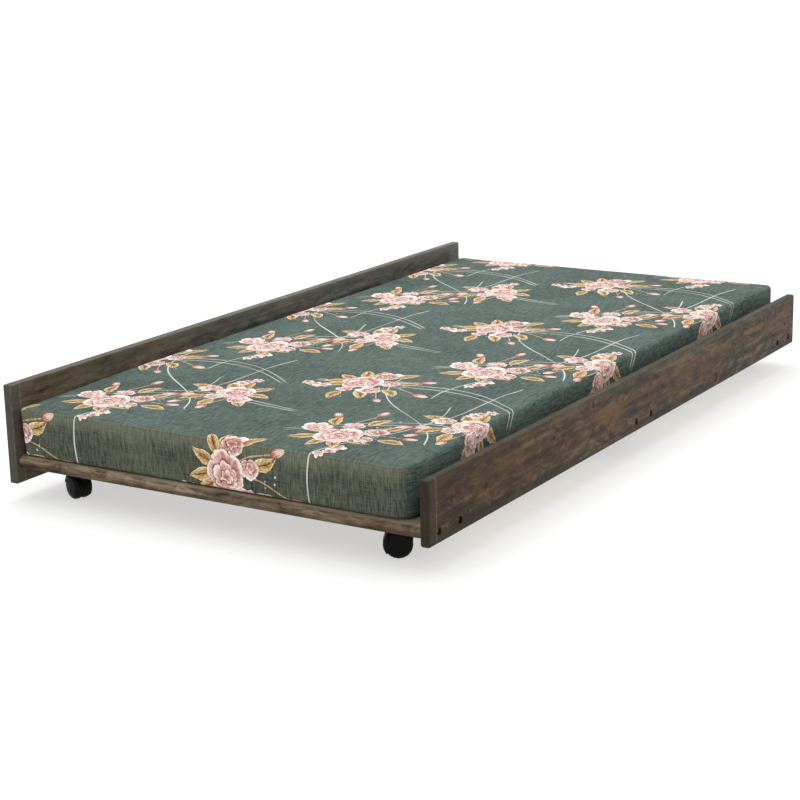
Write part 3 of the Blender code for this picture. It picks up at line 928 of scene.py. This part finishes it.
def layPrint(cover):
    mesh = cover.data
    flat = np.empty(len(mesh.loops) * 2, np.float32)
    mesh.uv_layers["cloth"].data.foreach_get("uv", flat)
    corners = flat.reshape(-1, 4, 2).astype(float) * 1000
    centres = corners.mean(1)
    span = np.ptp(corners, axis=1).max(1)
    pieces, stems, spots = printPieces()
    for kind, made in pieces.items():
        names = [kind + "A", kind + "B"]  # shapes that overlap go to different layers
        held = {name: np.full((len(centres), 4, 3), 9.0) for name in names}
        nearest = {name: np.full(len(centres), 9.0) for name in names}
        for middle, axis, length, width, code in made:
            reach = max(length, width) * 1.12
            rows = np.where((np.abs(centres - middle) < reach + 12).all(1))[0]
            if not len(rows):
                continue
            side = np.array([-axis[1], axis[0]])
            away = corners[rows] - middle
            u, v = away @ side / width, away @ axis / length
            mid = centres[rows] - middle
            margin = span[rows] / min(length, width)
            gap = np.hypot(mid @ side / width, mid @ axis / length)
            mine = gap < 1.25 + margin
            rows, u, v, gap = rows[mine], u[mine], v[mine], gap[mine]
            clash = [(nearest[name][rows] < 9).sum() for name in names]
            name = names[int(np.argmin(clash))]
            wins = gap < nearest[name][rows]
            rows, u, v, gap = rows[wins], u[wins], v[wins], gap[wins]
            nearest[name][rows] = gap
            held[name][rows] = np.stack([u, v, np.full_like(u, code)], 2)
        for name in names:
            writeHeld(mesh, name, held[name])
    trails = []
    for number in range(printed["trails"]):
        for twin in range(1 + number % 2):
            for move in printCopies():
                trail = makeTrail(number, twin) + move
                if trail[:, 0].min() > -125:  # the underside stays plain
                    trails.append(trail)
    writeHeld(mesh, "trails", lineLayer(trails, corners, centres, 3))
    stemLines = lineLayer(stems, corners, centres, 2)
    spray = np.zeros((len(centres), 4, 1))
    for spot, reach in spots:
        far = np.linalg.norm(corners - spot, axis=2)
        spray[:, :, 0] = np.maximum(spray[:, :, 0], easeIn(1.3 * (1 - far / reach)))
    writeHeld(mesh, "stems", np.concatenate([stemLines, spray], 2))
    print("print laid:", sum(len(made) for made in pieces.values()), "shapes,", len(trails), "trails")


def paintRose(paint, name, behind):
    u, v, code = paint.split(paint.held(name))
    seed = code.maths("FRACT")
    rings = code - seed
    wander = paint.noise(paint.join(u, v, seed * 37), 1.9, 2.0, 0.5)
    shift = paint.node("SeparateColor", None, {0: wander.other("Color")})
    u = u + (shift - 0.5) * 0.52
    v = v + (shift.other("Green") - 0.5) * 0.52
    v = v - (1 - (u * u + v * v)).maths("MAXIMUM", 0.0) * 0.28  # the heart sits high
    radius = (u * u + v * v).maths("SQRT")
    angle = v.maths("ARCTAN2", u)
    depth = radius * rings
    ring = depth.maths("ROUND")
    turn = angle * 2.5 + ring * 2.3 + seed * 40
    lobe = abs(turn.maths("COSINE"))
    petal = (turn / math.pi + 0.5).maths("FLOOR").maths("FLOORED_MODULO", 5.0) + ring * 17 + seed * 91
    luck = paint.node("TexWhiteNoise", {"noise_dimensions": "1D"}, {"W": petal})
    gap = ring - 0.42 + (lobe ** 0.6) * 0.52 + (luck - 0.5) * 0.26 - depth
    inside = gap.rise(0.0, 0.06)
    bright = inside * gap.fall(0.05, 0.50)
    dark = (1 - inside) * (gap * -1).fall(0.0, 0.20)
    crease = lobe.fall(0.02, 0.34) * inside * ring.rise(0.2, 0.8)
    streak = paint.noise(paint.join(angle * 7, radius * 1.6, seed * 9), 1.0, 3.0, 0.6)
    tone = 0.47 + bright * 0.48 - dark * 0.62 - crease * 0.42 + (streak - 0.5) * 0.95
    tone = tone + (luck - 0.5) * 0.50 + (radius - 0.55) * 0.22
    colour = tone.ramp(*printed["petals"])
    cover = (ring < rings - 0.5).maths("MAXIMUM", (ring < rings + 0.5) * inside)
    rim = (ring < rings + 0.5) * gap.rise(-0.24, -0.02)
    behind = paint.blend(rim * 0.5, behind, tint(*printed["outline"]))
    return paint.blend(cover, behind, colour)


def paintBud(paint, name, behind):
    u, v, code = paint.split(paint.held(name))
    seed = code.maths("FRACT")
    wander = paint.noise(paint.join(u, v, seed * 23), 2.6, 1.0)
    u = u + (wander - 0.5) * 0.22
    body = ((1 - v * v).maths("MAXIMUM", 0.0001) ** 0.5) * (1.0 - v * 0.20)
    across = u / body
    lips = 0.80 + 0.20 * abs((u * 4.2 + seed * 6).maths("COSINE")) - v
    inside = abs(across).fall(0.93, 1.0) * lips.rise(0.0, 0.06)
    petal = (abs(across + (seed - 0.5) * 0.5) - 0.40 - v * 0.10).maths("ABSOLUTE")
    line = petal.fall(0.02, 0.13) * v.rise(-0.9, -0.3)
    streak = paint.noise(paint.join(across * 5, v * 1.3, seed * 5), 1.0, 3.0)
    belly = (across * across + (v - 0.1) * (v - 0.1)).fall(0.0, 0.45)
    tone = 0.50 + v * 0.28 + (streak - 0.5) * 1.1 - line * 0.40 + petal.fall(0.10, 0.34) * 0.22
    tone = tone + belly * 0.24 + lips.fall(0.04, 0.22) * 0.30 - v.fall(-1.0, -0.45) * 0.26
    tone = tone - abs(across).rise(0.78, 1.0) * 0.26
    colour = tone.ramp(*printed["buds"])
    return paint.blend(inside, behind, colour)


def paintLeaf(paint, name, behind):
    u, v, code = paint.split(paint.held(name))
    seed = code.maths("FRACT")
    wander = paint.noise(paint.join(u, v, seed * 31), 2.4, 1.0)
    u = u + (v * v - 0.35) * (seed - 0.45) * 1.6 + (wander - 0.5) * 0.45
    body = ((1 - v * v).maths("MAXIMUM", 0.0) ** 1.05) * (1.05 - v * 0.30)
    rest = body - abs(u)
    inside = rest.rise(0.0, 0.07)
    rib = abs(u).fall(0.02, 0.11)
    veins = ((v * 3.2 - abs(u) * 1.3 + seed) * 6.28).maths("SINE")
    streak = paint.noise(paint.join(u * 4, v * 2, seed * 8), 1.0, 3.0)
    shade = seed.rise(0.80, 0.95) * 0.32  # a few leaves are brown
    tone = 0.66 + (streak - 0.5) * 1.1 - rib * 0.50 + veins * 0.08 + rest.fall(0.05, 0.26) * 0.30 - shade
    tone = tone - (0.6 - rest).fall(-0.2, 0.25) * 0.20 - v.rise(0.55, 1.0) * 0.12
    colour = tone.ramp(*printed["leaves"])
    behind = paint.blend(rest.rise(-0.20, 0.0) * 0.45, behind, tint(*printed["outline"]))
    return paint.blend(inside, behind, colour)


def coverPaint():
    paint = Paint("printed cover")
    cloth = paint.node("UVMap", {"uv_map": "cloth"})
    along, across, _ = paint.split(cloth)
    longSlub = paint.noise(paint.join(along * 14, across * 520), 1.0, 3.0, 0.6)
    crossSlub = paint.noise(paint.join(along * 520, across * 14, 3), 1.0, 3.0, 0.6)
    hatch = paint.noise(paint.join(along * 46, across * 150, 7), 1.0, 3.0, 0.65)
    cloud = paint.noise(paint.join(along * 5, across * 5, 1), 1.0, 2.0)
    warp = (along * printed["threads"]).maths("SINE")
    weft = (across * printed["threads"]).maths("SINE")
    ground = printed["ground"]
    tone = 0.5 + (longSlub - 0.5) * 1.5 + (crossSlub - 0.5) * 0.9 + (hatch - 0.5) * 1.5
    tone = tone + (cloud - 0.5) * 0.6 + warp * weft * 0.06
    colour = tone.ramp((0.1, ground["dark"]), (0.9, ground["light"]))
    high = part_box("mattress")[1]
    x, _, z = paint.split(paint.place())
    depth = z * -1 + high[2]
    # painted shade: the end faces are multiplied warmer and darker than the top, for the dimmer, warmer light
    # they get
    ends = (abs(x) - high[0]).rise(-0.034, -0.004) * depth.rise(-0.004, 0.012)
    colour = paint.blend(ends, colour, paint.blend(1.0, colour, tint(*ground["ends"]), "MULTIPLY"))
    # painted highlight: a light line along the fold at the near top edge, and the upper part of each end face
    # lighter as painted light
    foldHighlight = abs(along + 0.001).fall(0.001, 0.004) * depth.fall(0.004, 0.012)
    crease = ends * depth.fall(0.006, 0.050) * 0.30 + foldHighlight * 0.22
    colour = paint.blend(crease * (hatch * 0.8 + 0.6), colour, tint(*ground["crease"]))
    first, second, third = paint.split(paint.held("trails"))
    thick = 0.5 + paint.noise(paint.join(along * 9, across * 9, 5), 1.0, 1.0) * 1.7
    line = None
    for gap in (first, second, third):
        one = (abs(gap) - thick).fall(-0.5, 0.5)
        line = one if line is None else line.maths("MAXIMUM", one)
    fade = paint.noise(paint.join(along * 7, across * 7, 9), 1.0, 1.0).rise(0.25, 0.60) * 0.50 + 0.48
    colour = paint.blend(line * fade, colour, tint(*printed["trailTone"]))
    stemOne, stemTwo, spray = paint.split(paint.held("stems"))
    stem = (abs(stemOne).maths("MINIMUM", abs(stemTwo)) - 1.5).fall(-0.6, 0.6)
    stemTone = hatch.ramp(*printed["stems"])
    colour = paint.blend(stem * 0.9, colour, stemTone)
    dots = paint.node("TexVoronoi", {"voronoi_dimensions": "2D"}, {"Vector": cloth, "Scale": 62.0})
    pick = paint.node("SeparateColor", None, {0: dots.other("Color")})
    size = pick.other("Green") * 0.11 + 0.05
    dot = (dots - size).fall(-0.02, 0.02) * (pick < spray * 0.50)
    colour = paint.blend(dot * 0.9, colour, tint(*printed["dotTone"]))
    for draw, layer in (
        (paintLeaf, "leafA"),
        (paintLeaf, "leafB"),
        (paintBud, "budA"),
        (paintRose, "roseB"),
        (paintRose, "roseA"),
        (paintBud, "budB"),
    ):
        colour = draw(paint, layer, colour)
    # linen shows through the print
    grain = (longSlub + crossSlub - 1.0) * 0.5 + 0.5
    greys = ((0.2, (0.3, 0.3, 0.3, 1)), (0.8, (0.7, 0.7, 0.7, 1)))
    linen = paint.node("ValToRGB", {"stops": greys}, {0: grain})
    colour = paint.blend(0.35, colour, linen, "OVERLAY")
    relief = warp * 0.25 + weft * 0.25 + longSlub * 1.3 + crossSlub * 1.3 + hatch * 0.9
    return paint.finish(
        Base_Color=colour,
        Roughness=0.80 + (longSlub - 0.5) * 0.15,
        Specular_IOR_Level=0.08,
        Sheen_Weight=0.10,
        Sheen_Roughness=0.5,
        Normal=paint.bump(relief, 0.0006, 0.6),
    )


ledgerScrews = {
    "ledgers": ("ledger_front_near", "ledger_front_far", "ledger_back_near", "ledger_back_far"),
    "perLedger": 4,
    "fromEnd": 0.060,
    "radius": 0.0042,
    "height": 0.0024,
    "slot": (0.0046, 0.0009, 0.0011),  # length, width, depth of the cross
    "profile": ((1.0, 0.0), (1.0, 0.35), (0.93, 0.62), (0.78, 0.82), (0.55, 0.94), (0.28, 1.0)),
    "sides": 32,
}


def screwHead():
    # a domed head with a cross cut into it, facing +Z
    mesh = bmesh.new()
    radius, height = ledgerScrews["radius"], ledgerScrews["height"]
    sides = ledgerScrews["sides"]
    loops = []
    for share, lift in ledgerScrews["profile"]:
        ring = []
        for i in range(sides):
            x, y = outward(360 * i / sides, radius * share)
            ring.append(mesh.verts.new((x, y, height * lift)))
        loops.append(ring)
    for lower, upper in zip(loops, loops[1:]):
        for i in range(sides):
            j = (i + 1) % sides
            mesh.faces.new((lower[i], lower[j], upper[j], upper[i]))
    mesh.faces.new(loops[-1])
    mesh.faces.new(list(reversed(loops[0])))
    head = bpy.data.meshes.new("screw head")
    mesh.to_mesh(head)
    mesh.free()
    length, width, depth = ledgerScrews["slot"]
    cutter = bmesh.new()
    for sizes in ((length, width), (width, length)):
        bar = bmesh.ops.create_cube(cutter, size=1.0)["verts"]
        bmesh.ops.scale(cutter, verts=bar, vec=(*sizes, depth * 2))
        bmesh.ops.translate(cutter, verts=bar, vec=(0, 0, height))
    cross = bpy.data.meshes.new("cross")
    cutter.to_mesh(cross)
    cutter.free()
    piece = bpy.data.objects.new("head", head)
    tool = bpy.data.objects.new("cross", cross)
    for made in (piece, tool):
        bpy.context.scene.collection.objects.link(made)
    cut = piece.modifiers.new("cross", "BOOLEAN")
    cut.object = tool
    cut.operation = "DIFFERENCE"
    cut.solver = "EXACT"
    cut.use_self = True
    graph = bpy.context.evaluated_depsgraph_get()
    done = bpy.data.meshes.new_from_object(piece.evaluated_get(graph), depsgraph=graph)
    for made in (piece, tool):
        bpy.data.objects.remove(made)
    return done


def makeLedgerScrews():
    head = screwHead()
    mesh = bmesh.new()
    count = 0
    for name in ledgerScrews["ledgers"]:
        low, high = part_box(name)
        inward = 1 if low[1] < 0 else -1
        face = high[1] if inward > 0 else low[1]
        span = high[0] - low[0] - 2 * ledgerScrews["fromEnd"]
        for i in range(ledgerScrews["perLedger"]):
            x = low[0] + ledgerScrews["fromEnd"] + span * i / (ledgerScrews["perLedger"] - 1)
            turn = Matrix.Rotation(0.7 * count, 4, "Z")
            tip = Matrix.Rotation(-inward * math.pi / 2, 4, "X")
            place = Matrix.Translation((x, face, (low[2] + high[2]) / 2))
            start = len(mesh.verts)
            mesh.from_mesh(head)
            mesh.verts.ensure_lookup_table()
            bmesh.ops.transform(mesh, matrix=place @ tip @ turn, verts=mesh.verts[start:])
            count += 1
    made = bpy.data.meshes.new("ledger_screws")
    mesh.to_mesh(made)
    mesh.free()
    for face in made.polygons:
        face.use_smooth = False
    made.materials.append(bpy.data.materials["zinc steel"])
    screws = bpy.data.objects.new("ledger_screws", made)
    bpy.context.scene.collection.objects.link(screws)
    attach(screws, "bed")
    print("ledger screws:", count)


makeLedgerScrews()

cover = makeMattress()
layPrint(cover)
cover.data.materials.clear()
cover.data.materials.append(coverPaint())
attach(cover, "bed")
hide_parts("mattress")
print("mattress finished")
